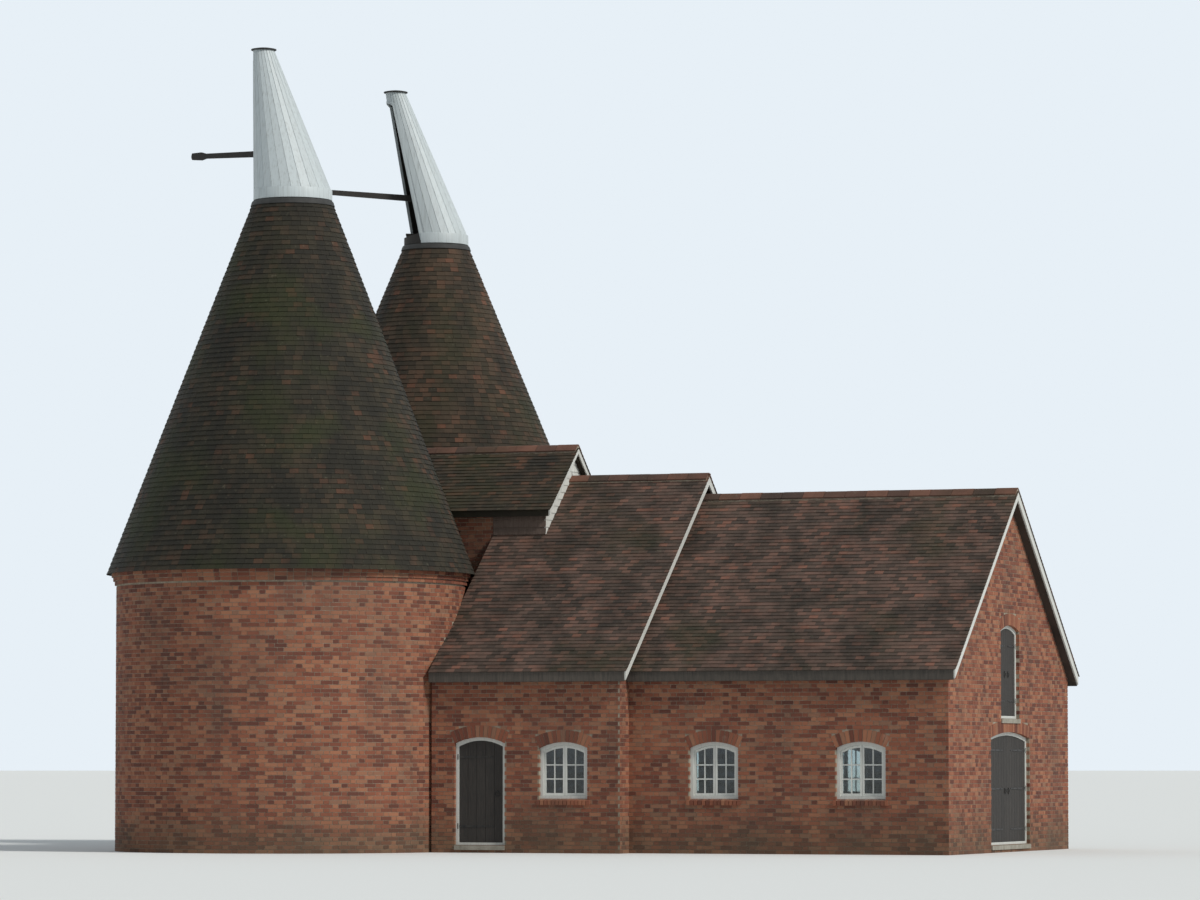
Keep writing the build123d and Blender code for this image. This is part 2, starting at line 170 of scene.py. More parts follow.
def gatherings(name, reach=1.9):
    """Lowest and highest corners of the groups of a node's points, more than reach apart."""
    points = np.unique(np.round(places(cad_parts[name].data), 4), axis=0)
    near = np.linalg.norm(points[:, None] - points[None], axis=2) < reach
    labels = np.arange(len(points))
    while True:
        spread = np.where(near, labels[None], len(points)).min(1)
        if (spread == labels).all():
            break
        labels = spread
    return [(points[labels == n].min(0), points[labels == n].max(0)) for n in np.unique(labels)]


def ridge_height(block):
    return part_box(f"{block}_front_roof")[1].z


def at(u, v, w):
    """Points from their three coordinates, each an array or one number for all."""
    return np.stack(np.broadcast_arrays(u, v, w), -1)


def circle(count):
    """Angles of as many even steps once round."""
    return math.tau * np.arange(count) / count


def even(start, end, size):
    """Ends of the equal parts of a stretch that come nearest to a size."""
    return np.linspace(start, end, int(round((end - start) / size)) + 1)


def new_mesh(name, points, faces):
    mesh = bpy.data.meshes.new(name)
    mesh.from_pydata(points.tolist(), [], faces.tolist())
    return mesh


def new_object(name, data):
    """An object of some data, linked to the scene."""
    made = bpy.data.objects.new(name, data)
    bpy.context.scene.collection.objects.link(made)
    return made


# Camera

def add_camera():
    """The photograph's direction and distance, with a longer lens on this one building."""
    aim = (cad_low + cad_high) / 2
    turn = math.radians(AZIMUTH)
    place = Vector((aim.x + DISTANCE * math.sin(turn), aim.y - DISTANCE * math.cos(turn), EYE_HEIGHT))
    data = bpy.data.cameras.new("camera")
    data.sensor_width = SENSOR
    tall = (cad_high.z - cad_low.z) / FRAME_FILL
    data.lens = SENSOR * (aim - place).length / (tall * PICTURE_SHAPE)
    data.clip_end = 20 * DISTANCE
    camera = new_object("camera", data)
    camera.location = place
    camera.rotation_euler = (aim - place).to_track_quat("-Z", "Y").to_euler()
    bpy.context.scene.camera = camera


# Materials

class Nodes:
    """A new tree of nodes, each added with its inputs as numbers, colours or other sockets."""

    def __init__(self, tree):
        self.tree = tree
        tree.nodes.clear()

    def feed(self, socket, value):
        if isinstance(value, bpy.types.NodeSocket):
            self.tree.links.new(value, socket)
        elif isinstance(value, tuple) and len(value) == 3 and socket.type == "RGBA":
            socket.default_value = (*value, 1)
        else:
            socket.default_value = value

    def node(self, kind, inputs, **settings):
        made = self.tree.nodes.new(kind)
        for key, value in settings.items():
            setattr(made, key, value)
        for key, value in inputs.items():
            self.feed(made.inputs[key], value)
        return made

    def math(self, operation, first, second=0.0, third=0.0):
        inputs = {0: first, 1: second, 2: third}
        return self.node("ShaderNodeMath", inputs, operation=operation).outputs[0]


class Shading(Nodes):
    """A material's nodes, from the object's own coordinates to its surface."""

    def __init__(self, name):
        self.material = bpy.data.materials.new(name)
        self.material.use_nodes = True
        super().__init__(self.material.node_tree)
        self.surface = self.node("ShaderNodeBsdfPrincipled", {})
        self.node("ShaderNodeOutputMaterial", {"Surface": self.surface.outputs[0]})
        self.place = self.node("ShaderNodeTexCoord", {}).outputs["Object"]

    def stretched(self, scale):
        """Object coordinates, scaled by a different amount along each axis."""
        return self.node("ShaderNodeMapping", {"Vector": self.place, "Scale": scale}).outputs[0]

    def noise(self, scale, detail=4.0, place=None, roughness=0.55):
        inputs = {"Vector": place or self.place, "Scale": scale, "Detail": detail, "Roughness": roughness}
        return self.node("ShaderNodeTexNoise", inputs).outputs["Fac"]

    def band(self, value, low, high):
        """0 under low and 1 over high, smooth between."""
        inputs = {"Value": value, "From Min": low, "From Max": high}
        return self.node("ShaderNodeMapRange", inputs, interpolation_type="SMOOTHSTEP").outputs["Result"]

    def blend(self, amount, under, over, how="MIX"):
        made = self.node("ShaderNodeMix", {0: amount}, data_type="RGBA", blend_type=how)
        self.feed(made.inputs[6], under)
        self.feed(made.inputs[7], over)
        return made.outputs[2]

    def cover(self, amount, share, under, over):
        """A colour laid over another where amount is high, up to a share of it."""
        return self.blend(self.math("MULTIPLY", amount, share), under, over)

    def ramp(self, value, stops):
        made = self.node("ShaderNodeValToRGB", {"Fac": value})
        points = made.color_ramp.elements
        while len(points) < len(stops):
            points.new(1.0)
        for point, (place, colour) in zip(points, stops):
            point.position = place
            point.color = (*colour, 1)
        return made.outputs["Color"]

    def tone(self):
        """Each small piece's own number between 0 and 1."""
        return self.node("ShaderNodeAttribute", {}, attribute_name="tone").outputs["Fac"]

    def shaded(self, colour, spread):
        """Each small piece darker than the lightest by up to spread."""
        level = self.math("MULTIPLY_ADD", self.tone(), spread, 1 - spread)
        grey = self.node("ShaderNodeCombineColor", {0: level, 1: level, 2: level}).outputs[0]
        return self.blend(1.0, colour, grey, "MULTIPLY")

    def height(self):
        return self.node("ShaderNodeSeparateXYZ", {0: self.place}).outputs["Z"]

    def finish(self, colour, roughness, bump=None, depth=0.002, metallic=0.0, **inputs):
        self.feed(self.surface.inputs["Base Color"], colour)
        self.feed(self.surface.inputs["Roughness"], roughness)
        self.surface.inputs["Metallic"].default_value = metallic
        for key, value in inputs.items():
            self.surface.inputs[key.replace("_", " ")].default_value = value
        if bump is not None:
            raised = self.node("ShaderNodeBump", {"Height": bump, "Distance": depth, "Strength": 1.0})
            self.feed(self.surface.inputs["Normal"], raised.outputs[0])
        return self.material


def tile_material(name, stops, stain, moss, lichen):
    """Weathered clay tiles: fired tones, dark weather stain, moss in patches and pale lichen."""
    s = Shading(name)
    colour = s.ramp(s.tone(), stops)
    grime = s.band(s.noise(1.6, 5.0, s.stretched((1, 1, 0.45))), 0.35, 0.7)
    colour = s.cover(grime, stain, colour, (0.02, 0.0185, 0.0145))
    green = s.band(s.noise(0.55, 6.0), 0.5, 0.68)
    colour = s.cover(green, moss, colour, (0.031, 0.036, 0.0145))
    spots = s.band(s.noise(9.0, 6.0, roughness=0.7), 0.6, 0.72)
    colour = s.cover(spots, lichen, colour, (0.17, 0.16, 0.11))
    grit = s.noise(70.0, 5.0)
    return s.finish(colour, s.math("MULTIPLY_ADD", grit, 0.2, 0.72), grit, 0.004, Specular_IOR_Level=0.2)


def brick_material():
    """Hand-made red bricks in several tones, with soot, pale bloom and damp near the ground."""
    s = Shading("brick")
    colour = s.ramp(s.tone(), [
        (0.0, (0.12, 0.045, 0.032)),
        (0.3, (0.21, 0.074, 0.045)),
        (0.6, (0.28, 0.105, 0.06)),
        (0.85, (0.34, 0.15, 0.085)),
        (1.0, (0.24, 0.125, 0.08)),
    ])
    soot = s.band(s.noise(0.9, 5.0, s.stretched((1, 1, 0.5))), 0.45, 0.75)
    colour = s.cover(soot, 0.55, colour, (0.09, 0.058, 0.045))
    bloom = s.band(s.noise(3.2, 6.0, roughness=0.7), 0.62, 0.78)
    colour = s.cover(bloom, 0.3, colour, (0.42, 0.34, 0.27))
    damp = s.math("SUBTRACT", 1.0, s.band(s.math("ADD", s.height(), s.noise(2.0)), 0.5, 1.5))
    colour = s.cover(damp, 0.5, colour, (0.075, 0.07, 0.045))
    return s.finish(colour, 0.88, s.noise(95.0, 5.0), 0.003, Specular_IOR_Level=0.25)


def mortar_material():
    """Lime mortar, sandy and uneven, darker near the ground."""
    s = Shading("mortar")
    colour = s.ramp(s.noise(14.0, 6.0), [(0.3, (0.22, 0.18, 0.135)), (0.7, (0.38, 0.33, 0.26))])
    damp = s.math("SUBTRACT", 1.0, s.band(s.height(), 0.2, 1.2))
    colour = s.cover(damp, 0.5, colour, (0.12, 0.115, 0.08))
    return s.finish(colour, 0.95, s.noise(120.0, 6.0), 0.004, Specular_IOR_Level=0.2)


def paint_material(name, paint, worn, wear, spread=0.12):
    """Painted boards: brushed paint over grain, with dirt in streaks and worn spots."""
    s = Shading(name)
    streak = s.noise(3.0, 6.0, s.stretched((9.0, 9.0, 0.7)))
    colour = s.cover(s.band(streak, 0.45, 0.8), wear, paint, worn)
    bare = s.band(s.noise(26.0, 6.0, roughness=0.7), 0.66, 0.74)
    colour = s.cover(bare, wear, colour, tuple(0.45 * part for part in worn))
    return s.finish(s.shaded(colour, spread), 0.5, streak, 0.002)


def timber_material(name, dark, light, roughness=0.8, spread=0.25):
    """Bare or tarred timber with upright grain."""
    s = Shading(name)
    grain = s.noise(6.0, 8.0, s.stretched((6.0, 6.0, 0.6)), 0.65)
    colour = s.ramp(grain, [(0.25, dark), (0.75, light)])
    return s.finish(s.shaded(colour, spread), roughness, grain, 0.003)


def patchy_material(name, dark, light, scale, roughness, depth, metallic=0.0):
    """Lead, iron, stone or screed: two tones in soft patches over a fine grain."""
    s = Shading(name)
    colour = s.ramp(s.noise(scale, 7.0), [(0.3, dark), (0.7, light)])
    return s.finish(colour, roughness, s.noise(8 * scale, 5.0), depth, metallic)


def glass_material():
    s = Shading("window_pane")
    return s.finish((0.62, 0.7, 0.7), 0.03, s.noise(5.0, 2.0), 0.0015, IOR=1.5, Transmission_Weight=1.0)


def tile_tones(*colours):
    """Stops of a ramp from the dark tiles to the few that are bright."""
    return list(zip((0.0, 0.35, 0.7, 0.92, 1.0), colours))


KILN_TONES = tile_tones((0.023, 0.021, 0.016), (0.033, 0.029, 0.02), (0.044, 0.036, 0.024),
                        (0.062, 0.041, 0.027), (0.095, 0.047, 0.029))
BROWN_TONES = tile_tones((0.034, 0.027, 0.019), (0.052, 0.039, 0.026), (0.07, 0.048, 0.032),
                         (0.092, 0.053, 0.034), (0.13, 0.061, 0.038))
STOWAGE_TONES = tile_tones((0.064, 0.047, 0.038), (0.1, 0.07, 0.055), (0.14, 0.087, 0.068),
                           (0.175, 0.098, 0.073), (0.21, 0.1, 0.07))
RIDGE_TONES = [(0.0, (0.075, 0.048, 0.038)), (0.6, (0.14, 0.07, 0.05)), (1.0, (0.2, 0.095, 0.065))]
materials = {
    "kiln_tile_1": tile_material("mossy_kiln_tile", KILN_TONES, 1.0, 0.75, 0.3),
    "kiln_tile_2": tile_material("brown_kiln_tile", BROWN_TONES, 0.8, 0.4, 0.25),
    "link_tile": tile_material("link_tile", BROWN_TONES, 0.9, 0.5, 0.3),
    "stowage_tile": tile_material("stowage_tile", STOWAGE_TONES, 0.7, 0.4, 0.4),
    "ridge_tile": tile_material("ridge_tile", RIDGE_TONES, 0.5, 0.35, 0.4),
    "brick": brick_material(),
    "mortar": mortar_material(),
    "white": paint_material("white_boards", (0.55, 0.61, 0.625), (0.26, 0.275, 0.26), 0.45),
    "joinery": paint_material("joinery", (0.68, 0.69, 0.65), (0.34, 0.33, 0.28), 0.35),
    # Tar-black boards: the real finish of the plank doors, and painted shade on the cowls' shells inside
    # their mouths and on their backlit fingers.
    "tar_and_painted_shade": timber_material("tar_boards_and_painted_shade", (0.012, 0.011, 0.01), (0.045, 0.038, 0.032)),
    "timber": timber_material("weathered_timber", (0.035, 0.03, 0.025), (0.11, 0.092, 0.075)),
    # Brown boarding, darker than the white gable boards, paints the shade under the link's eaves on its
    # cheeks and upstand.
    "boarding": timber_material("boarding_painted_shade", (0.09, 0.06, 0.047), (0.2, 0.145, 0.115)),
    "boards": timber_material("floor_boards", (0.12, 0.08, 0.045), (0.28, 0.19, 0.11), 0.6),
    # Lead, near black, which on the collars also paints the shadow line under the cowls' bands.
    "lead_and_painted_shade": patchy_material("lead_and_painted_shade", (0.012, 0.012, 0.011), (0.031, 0.031, 0.029), 7.0, 0.75, 0.001),
    "iron": patchy_material("iron", (0.012, 0.012, 0.012), (0.04, 0.035, 0.03), 9.0, 0.5, 0.001, 0.4),
    "stone": patchy_material("stone", (0.2, 0.185, 0.15), (0.34, 0.32, 0.27), 6.0, 0.85, 0.004),
    "slab": patchy_material("floor_slab", (0.2, 0.175, 0.14), (0.36, 0.32, 0.26), 4.0, 0.9, 0.004),
    "glass": glass_material(),
}


def paint_solids():
    """Gives every node of the frame its material, by the last word of its name that has one."""
    finishes = {
        # The cowls' shells and fingers take the tar-black boards as painted shade, inside the mouths and on
        # the backlit fingers.
        "wall": "mortar", "roof": "stowage_tile", "curb": "timber", "shell": "tar_and_painted_shade", "cap": "lead_and_painted_shade",
        "finger": "tar_and_painted_shade", "frame": "timber", "floors": "slab", "doors": "tar_and_painted_shade", "door": "tar_and_painted_shade",
        "frames": "joinery", "glass": "glass", "bargeboards": "joinery", "tiles": "ridge_tile",
        "upstand": "boarding", "floor": "slab",
    }
    special = {
        "kiln_1_roof": "kiln_tile_1", "kiln_2_roof": "kiln_tile_2", "link_front_roof": "link_tile",
        "link_back_roof": "link_tile", "upper_floor": "boards",
    }
    for name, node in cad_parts.items():
        key = next(word for word in reversed(name.split("_")) if word in finishes)
        node.data.materials.clear()
        node.data.materials.append(materials[special.get(name, finishes[key])])


# Small blocks, many to a mesh

def cells(one, other):
    """Eight corners of many boxes, from arrays of two opposite corners of each."""
    low, high = np.minimum(one, other), np.maximum(one, other)
    return np.where(CORNERS, high[:, None], low[:, None])


def dress(name, mesh, finish, body):
    """A piece of a mesh, linked, with its material and its body."""
    piece = new_object(name, mesh)
    mesh.materials.append(materials[finish])
    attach(piece, body)
    return piece


def toned_mesh(name, points, quads, tones):
    """A mesh whose points carry the tones of their small pieces."""
    mesh = new_mesh(name, points, quads)
    mesh.attributes.new("tone", "FLOAT", "POINT").data.foreach_set("value", tones)
    return mesh


def blocks(name, corners, finish, body="building"):
    """One mesh of six-sided blocks, each with its own tone, riding on a body."""
    count = len(corners)
    quads = (BLOCK_FACES[None] + 8 * np.arange(count)[:, None, None]).reshape(-1, 4)
    mesh = toned_mesh(name, corners.reshape(-1, 3), quads, np.repeat(random.random(count), 8))
    return dress(name, mesh, finish, body)


# Skins: grids of points, closed round one way or both

def skin(grid, closed=False):
    """Points and quads of a tube through rings of points, capped at its ends or closed on itself."""
    if not closed:
        ends = [np.repeat(ring.mean(0, keepdims=True), len(ring), 0) for ring in (grid[0], grid[-1])]
        grid = np.concatenate((ends[:1], grid, ends[1:]))
    rings, around = grid.shape[:2]
    index = np.arange(rings * around).reshape(rings, around)
    following = np.roll(index, -1, 0) if closed else index[1:]
    index = index if closed else index[:-1]
    quads = np.stack((index, np.roll(index, -1, 1), np.roll(following, -1, 1), following), -1)
    return grid.reshape(-1, 3), quads.reshape(-1, 4)


def weld(mesh):
    """Joins the points of a mesh that share a place, and turns its faces outward."""
    work = bmesh.new()
    work.from_mesh(mesh)
    bmesh.ops.remove_doubles(work, verts=work.verts, dist=1e-6)
    bmesh.ops.recalc_face_normals(work, faces=work.faces)
    work.to_mesh(mesh)
    work.free()


def joined(name, skins, finish, body="building"):
    """One mesh of closed skins, each with its own tone."""
    points, quads, tones, start = [], [], [], 0
    for grid, faces in skins:
        points.append(grid)
        quads.append(faces + start)
        tones.append(np.full(len(grid), random.random()))
        start += len(grid)
    mesh = toned_mesh(name, *map(np.concatenate, (points, quads, tones)))
    weld(mesh)
    mesh.shade_smooth()
    mesh.set_sharp_from_angle(angle=SHARP)
    return dress(name, mesh, finish, body)


def swept(centre, profile, angles):
    """Places of an outline of radius and height at several angles about the upright line through a centre."""
    reach, height = np.array(profile).T
    angles = angles[:, None]
    return at(centre[0] + reach * np.cos(angles), centre[1] + reach * np.sin(angles), height)


def lathe(centre, profile, around=64):
    """A closed outline turned all the way round."""
    return skin(swept(centre, profile, circle(around)), closed=True)


def rod(start, end, radius, sides=10, tip=1.0):
    """A round bar between two points, its far end narrowed to a share of the radius."""
    along = (end - start) / np.linalg.norm(end - start)
    across = np.cross(along, (0, 0, 1.0) if abs(along[2]) < 0.9 else (1.0, 0, 0))
    across /= np.linalg.norm(across)
    upright = np.cross(along, across)
    angles = circle(sides)[:, None]
    ring = radius * (np.cos(angles) * across + np.sin(angles) * upright)
    return skin(np.stack((start + ring, end + tip * ring)))


# Surfaces: u runs along, v up and w out of each

def round_wall(axis, radius):
    """A round wall about an upright axis; u is the length of arc from +X."""
    def place(points):
        u, v, w = np.moveaxis(points, -1, 0)
        return at(axis.x + (radius + w) * np.cos(u / radius), axis.y + (radius + w) * np.sin(u / radius), v)
    return place


def plane(start, along, up, out):
    """A flat surface, from one of its points and the directions of u, v and w."""
    def place(points):
        u, v, w = points[..., :1], points[..., 1:2], points[..., 2:]
        return start + u * along + v * up + w * out
    return place


def flat_wall(distance, outward):
    """An upright wall at a distance from the origin, that faces outward in degrees from +X."""
    turn = math.radians(outward)
    out = np.array((math.cos(turn), math.sin(turn), 0))
    return plane(distance * out, np.array((-out[1], out[0], 0)), np.array((0, 0, 1.0)), out)


def slope(side, eaves_y, eaves_z):
    """A gabled roof's slope on the front or back side; v runs up from the eaves."""
    c, s = math.cos(PITCH), math.sin(PITCH)
    return plane(np.array((0, side * eaves_y, eaves_z)), np.array((-side, 0.0, 0.0)),
                 np.array((0, -side * c, s)), np.array((0, side * s, c)))


def span(side, west, east):
    """Ends of a stretch between two x, in the u of a wall or slope on the front or back side."""
    return sorted((-side * west, -side * east))


# Kilns, as the solids have them

class Kiln:
    """Places and sizes of one kiln, with the leaning cowl over it."""

    def __init__(self, number):
        self.number = number
        roof_low, roof_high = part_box(f"kiln_{number}_roof")
        curb_low, curb_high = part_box(f"kiln_{number}_curb")
        cap_low, cap_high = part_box(f"cowl_{number}_cap")
        self.axis = (roof_low + roof_high) / 2
        self.foot_r = (roof_high.y - roof_low.y) / 2
        self.eaves_z = roof_low.z
        self.cornice_z = self.eaves_z - CORNICE_COURSES * COURSE
        self.cone_z = roof_high.z
        self.curb_r = (curb_high.x - curb_low.x) / 2
        self.top_r = self.curb_r + CURB_SETBACK
        self.run = self.foot_r - self.top_r
        self.rise = self.cone_z - self.eaves_z
        self.slant = math.hypot(self.run, self.rise)
        self.cowl_z = curb_high.z + TURN_GAP
        self.cowl_r = self.curb_r + COWL_REACH
        self.cowl_height = cap_low.z - self.cowl_z
        offset = (cap_low + cap_high) / 2 - self.axis
        self.lean = math.hypot(offset.x, offset.y)
        self.heading = math.atan2(offset.y, offset.x)
        self.cowl_slant = math.hypot(self.cowl_height, self.lean)

    def reach(self, z):
        """Radius of the wall, the cornice or the cone at each height."""
        steps = np.clip(np.floor((z - self.cornice_z) / COURSE) + 1, 0, CORNICE_COURSES)
        cone = self.foot_r - (z - self.eaves_z) * self.run / self.rise
        return np.where(z < self.eaves_z, KILN_WALL_R + CORNICE_STEP * steps, cone)

    def cone(self, points):
        """Points on the cone from the angle u, the length v up the slant and w out of it."""
        u, v, w = np.moveaxis(points, -1, 0)
        reach = self.foot_r - v * self.run / self.slant + w * self.rise / self.slant
        height = self.eaves_z + v * self.rise / self.slant + w * self.run / self.slant
        return at(self.axis.x + reach * np.cos(u), self.axis.y + reach * np.sin(u), height)

    def cowl(self, points):
        """Points of the cowl from x towards its mouth, y across and z over its foot."""
        c, s = math.cos(self.heading), math.sin(self.heading)
        x, y, z = np.moveaxis(points, -1, 0)
        return at(self.axis.x + c * x - s * y, self.axis.y + s * x + c * y, self.cowl_z + z)

    def half_mouth(self, run):
        """Half the width of the mouth at a run up the leaning axis."""
        share = run / self.cowl_slant
        return MOUTH_SHARE * (self.cowl_r * (1 - share) + COWL_TOP_R * share)

    def leaning(self, a, b, n):
        """Points of the cowl from a across, b up the leaning axis and n out of it towards the mouth."""
        lean, upright = self.lean / self.cowl_slant, self.cowl_height / self.cowl_slant
        return self.cowl(at(b * lean + n * upright, a, b * upright - n * lean))

    def skin_depth(self, a, b):
        """How far n runs from the leaning axis to the cowl's skin on the mouth's side."""
        stretch = (self.cowl_slant / self.cowl_height) ** 2
        taper = (self.cowl_r - COWL_TOP_R) * self.lean / (self.cowl_slant * self.cowl_height)
        radius = self.cowl_r + (COWL_TOP_R - self.cowl_r) * b / self.cowl_slant
        inside = (taper * radius) ** 2 + (stretch - taper ** 2) * (radius ** 2 - a ** 2)
        return (taper * radius + np.sqrt(np.maximum(inside, 0))) / (stretch - taper ** 2)


kilns = [Kiln("1"), Kiln("2")]


def outside_kilns(corners, depth=0.06):
    """Drops the blocks whose middle is deeper than depth in a kiln."""
    middle = corners.mean(1)
    for kiln in kilns:
        off = np.hypot(middle[:, 0] - kiln.axis.x, middle[:, 1] - kiln.axis.y)
        keep = off > kiln.reach(middle[:, 2]) - depth
        corners, middle = corners[keep], middle[keep]
    return corners


# Brickwork

class Opening:
    """A doorway or window with a segmental or flat head, at u along its wall."""

    def __init__(self, u, sill, width, height, rise=ARCH_RISE, outward=0, distance=0.0):
        self.u, self.sill, self.width, self.height, self.rise = u, sill, width, height, rise
        self.outward, self.distance = outward, distance
        self.spring = sill + height - rise
        if rise:
            self.radius = (width ** 2 / 4 + rise ** 2) / (2 * rise)
            self.centre_v = sill + height - self.radius
            self.half_angle = math.asin(width / 2 / self.radius)
            self.outer = self.radius + ARCH_DEPTH + JOINT

    def blocked(self, v):
        """Half the width that the opening and its arch take from a course at height v."""
        if v < self.sill:
            return 0.0
        if v < self.spring:
            return self.width / 2
        if not self.rise or v > self.centre_v + self.outer:
            return 0.0
        if v < self.centre_v + self.outer * math.cos(self.half_angle):
            return (v - self.centre_v) * math.tan(self.half_angle)
        return math.sqrt(self.outer ** 2 - (v - self.centre_v) ** 2)

    def head(self, offset):
        """Height of the arched head at an offset from the middle."""
        return self.centre_v + np.sqrt(self.radius ** 2 - np.asarray(offset) ** 2)

    def clear(self):
        """What the frame leaves open."""
        return Opening(self.u, self.sill + FRAME_WIDTH, self.width - 2 * FRAME_WIDTH,
                       self.height - 2 * FRAME_WIDTH, self.rise)

    def put(self, points):
        """Puts points, measured from the opening's middle and its wall's face, in their places."""
        return flat_wall(self.distance, self.outward)(points + (self.u, 0, 0))

    def pin(self, start, end, radius, tip=1.0):
        """A rod between two such points."""
        return rod(*self.put(np.array((start, end))), radius, tip=tip)


def openings(name, thickness):
    """The openings round a node's leaves or panes."""
    found = []
    for low, high in gatherings(name):
        middle, size = (low + high) / 2, high - low
        axis = 0 if size[0] < size[1] else 1
        sign = 1 if middle[axis] > 0 else -1
        outward = 90 * axis * sign + (180 if axis == 0 and sign < 0 else 0)
        turn = math.radians(outward)
        found.append(Opening(
            u=-middle[0] * math.sin(turn) + middle[1] * math.cos(turn), sill=low[2] - FRAME_WIDTH,
            width=size[1 - axis] + 2 * FRAME_WIDTH, height=size[2] + 2 * FRAME_WIDTH, outward=outward,
            distance=max(sign * low[axis], sign * high[axis]) + REVEAL + (FRAME_DEPTH - thickness) / 2))
    return found


windows = openings("window_glass", PANE)
kiln_doors = openings("kiln_doors", LEAF)
front_door, = openings("front_door", LEAF)
wagon_door, = openings("wagon_doors", LEAF)
loading_door, = openings("loading_door", LEAF)


def flemish(start, end, shift, scale=1.0):
    """Ends of the bricks of one course, alternately long and short."""
    period = scale * PERIOD
    first = start - shift * period + period * np.arange(int(math.ceil((end - start) / period)) + 2)
    lows = np.stack((first, first + scale * (STRETCHER + JOINT)), 1).ravel()
    highs = np.stack((first + scale * STRETCHER, first + period - scale * JOINT), 1).ravel()
    return np.clip(lows, start, end), np.clip(highs, start, end)


def parted(lows, highs, gap_low, gap_high):
    """The bricks of a course without what lies in a gap."""
    kept = (highs <= gap_low) | (lows >= gap_high)
    left = ~kept & (lows < gap_low)
    right = ~kept & (highs > gap_high)
    return (np.concatenate((lows[kept], lows[left], np.full(right.sum(), gap_high))),
            np.concatenate((highs[kept], np.full(left.sum(), gap_low), highs[right])))


def wall_bricks(spans_at, low, high, holes=(), around=0.0):
    """Cells of a whole wall; spans_at(v) gives the stretches of the course at height v.

    A round wall has closed rings instead, of the length around.
    """
    rows = []
    for row in range(int(round((high - low) / COURSE))):
        v = low + row * COURSE
        middle = v + BRICK_HEIGHT / 2
        shift = 0.25 + 0.5 * (row % 2)
        if around:
            scale = around / PERIOD / round(around / PERIOD)
            start = -around / 4 + shift * scale * PERIOD
            lows, highs = flemish(start, start + around, 0, scale)
        else:
            courses = [flemish(start, end, shift) for start, end in spans_at(middle) if end > start]
            if not courses:
                continue
            lows, highs = (np.concatenate(ends) for ends in zip(*courses))
        for hole in holes:
            half = hole.blocked(middle)
            if half:
                lows, highs = parted(lows, highs, hole.u - half, hole.u + half)
        depth = np.full(len(lows), BEDDED)
        for hole in holes:
            if hole.sill <= middle < hole.spring:
                near = np.abs(highs - hole.u + hole.width / 2) < 1e-6
                far = np.abs(lows - hole.u - hole.width / 2) < 1e-6
                highs = np.where(near, highs + BEDDED, highs)
                lows = np.where(far, lows - BEDDED, lows)
                depth = np.where(near | far, REVEAL, depth)
        keep = highs - lows > SHORTEST_BRICK
        rows.append(np.stack(np.broadcast_arrays(lows, highs, v, depth))[:, keep])
    lows, highs, v, depth = np.concatenate(rows, 1)
    out = PROUD + random.uniform(-UNEVEN, UNEVEN, len(v))
    return cells(at(lows, v, -depth), at(highs, v + BRICK_HEIGHT, out))


def arch_bricks(hole):
    """Wedge-shaped bricks over an opening, whose undersides line its head."""
    edges = even(-hole.half_angle, hole.half_angle, COURSE / hole.radius)
    half_joint = JOINT / 2 / hole.radius
    wedges = cells(at(edges[:-1] + half_joint, hole.radius - BEDDED, -REVEAL),
                   at(edges[1:] - half_joint, hole.radius + ARCH_DEPTH, 1.5 * PROUD))
    angle, reach, out = np.moveaxis(wedges, -1, 0)
    return at(hole.u + reach * np.sin(angle), hole.centre_v + reach * np.cos(angle), out)


def sill_bricks(hole):
    """Bricks on edge under a window, sloped to throw off the rain."""
    half = hole.width / 2 + HEADER / 2
    edges = even(hole.u - half, hole.u + half, COURSE)
    row = cells(at(edges[:-1] + JOINT / 2, hole.sill - HEADER, -REVEAL),
                at(edges[1:] - JOINT / 2, hole.sill + 0.012, 0.035))
    row[:, 6:, 1] -= 0.03
    return row


def whole(side, west, east):
    """Courses from one end to the other of a wall on the front or back side."""
    return lambda v: [span(side, west, east)]


def gable(half, ridge):
    """Courses as wide as a wall, and as what a gabled roof leaves of it higher up."""
    def spans(v):
        reach = min(half, (ridge - v) / SLOPE)
        return [(-reach, reach)]
    return spans


def dressed_wall(name, place, spans_at, high, doors=(), lights=()):
    """Bricks, arches and sills of one wall as one piece, clear of the kilns."""
    holes = [*doors, *lights]
    parts = [wall_bricks(spans_at, 0.0, high, holes)]
    parts += [arch_bricks(hole) for hole in holes if hole.rise]
    parts += [sill_bricks(hole) for hole in lights]
    return blocks(name, outside_kilns(place(np.concatenate(parts))), "brick")


# Tiles

def tile_course(v, row, start, end, width):
    """Tiles of one course, half a tile over on every second row."""
    count = max(int(round((end - start) / width)), 1)
    width = (end - start) / count
    edges = start + width * (np.arange(count + 2) - 0.5 * (row % 2))
    left, right = np.clip(edges[:-1], start, end), np.clip(edges[1:], start, end)
    keep = right - left > 0.1 * width
    left, right = left[keep], right[keep]
    gap = 0.5 * TILE_GAP * width / TILE_WIDTH
    course = cells(at(left + gap, v, 0), at(right - gap, v + TILE_LENGTH, 0))
    lift = random.uniform(-0.002, 0.003, len(left))[:, None]
    skew = random.uniform(-0.003, 0.003, len(left))[:, None]
    course[:, LOWER, 2] = TILE_TAIL
    course[:, UPPER, 2] = TILE_HEAD
    course[:, :4, 2] -= TILE_THICK
    course[:, LOWER, 2] += lift
    course[:, 0::2, 1] -= skew
    course[:, 1::2, 1] += skew
    return course


def cone_tiles(kiln):
    """Courses of tapered tiles round a kiln's cone, each of as many as its length takes."""
    courses = []
    for v in np.arange(-CONE_LAP, kiln.slant - TILE_LENGTH, GAUGE):
        radius = kiln.foot_r - (v + GAUGE / 2) * kiln.run / kiln.slant
        width = math.tau / int(round(math.tau * radius / TILE_WIDTH))
        start = random.random() * width
        courses.append(tile_course(v, 0, start, start + math.tau, width))
    blocks(f"kiln_{kiln.number}_tiles", kiln.cone(np.concatenate(courses)), f"kiln_tile_{kiln.number}")


